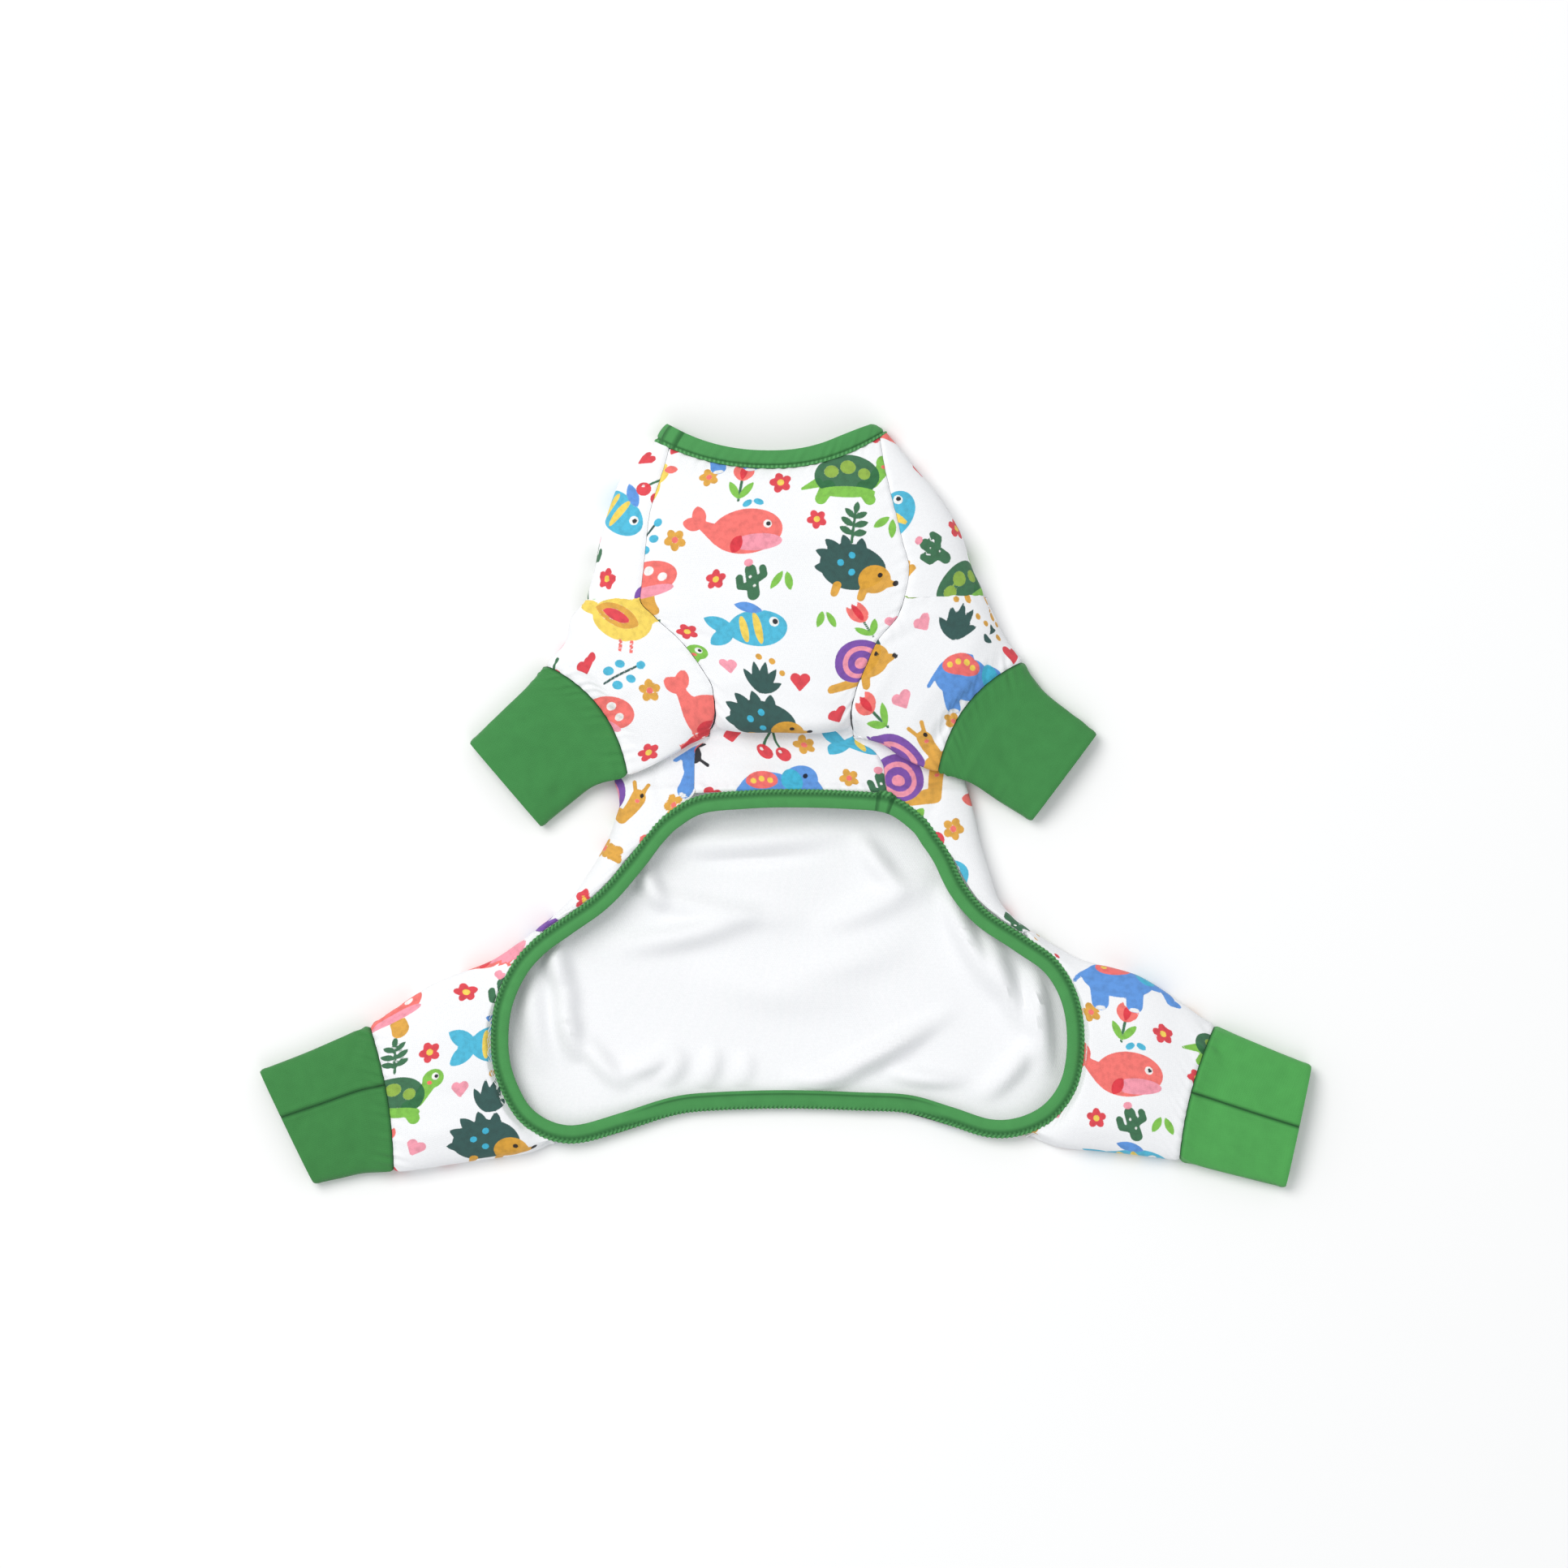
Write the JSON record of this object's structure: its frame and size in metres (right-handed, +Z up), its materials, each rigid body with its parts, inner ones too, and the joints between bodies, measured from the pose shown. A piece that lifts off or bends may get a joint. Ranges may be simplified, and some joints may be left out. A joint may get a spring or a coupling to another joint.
{
  "type": "dog jumpsuit",
  "caption": "Four-legged jersey jumpsuit for a small dog, laid flat belly side up, with ribbed cuffs, a ribbed neck band and a wide bound opening under the belly",
  "frame": {"origin": "middle of the bounding box, at the floor", "axes": "+Z up, out of the belly side; +Y towards the neck; +X towards the right of the picture"},
  "size_m": [0.5178, 0.3764, 0.03],
  "materials": {
    "printed_jersey": "soft matt cotton jersey, white with a small all-over print in many colours on its outside",
    "ribbed_cloth": "matt fine-ribbed knit, mid green"
  },
  "bodies": {
    "root": {"back_panel": "printed_jersey", "chest_panel": "printed_jersey", "front_sleeve_left": "printed_jersey", "front_sleeve_right": "printed_jersey", "front_cuff_left": "ribbed_cloth", "front_cuff_right": "ribbed_cloth", "hind_leg_left": "printed_jersey", "hind_leg_right": "printed_jersey", "hind_cuff_left": "ribbed_cloth", "hind_cuff_right": "ribbed_cloth", "neck_binding": "ribbed_cloth", "opening_binding": "ribbed_cloth"}
  },
  "joints": []
}
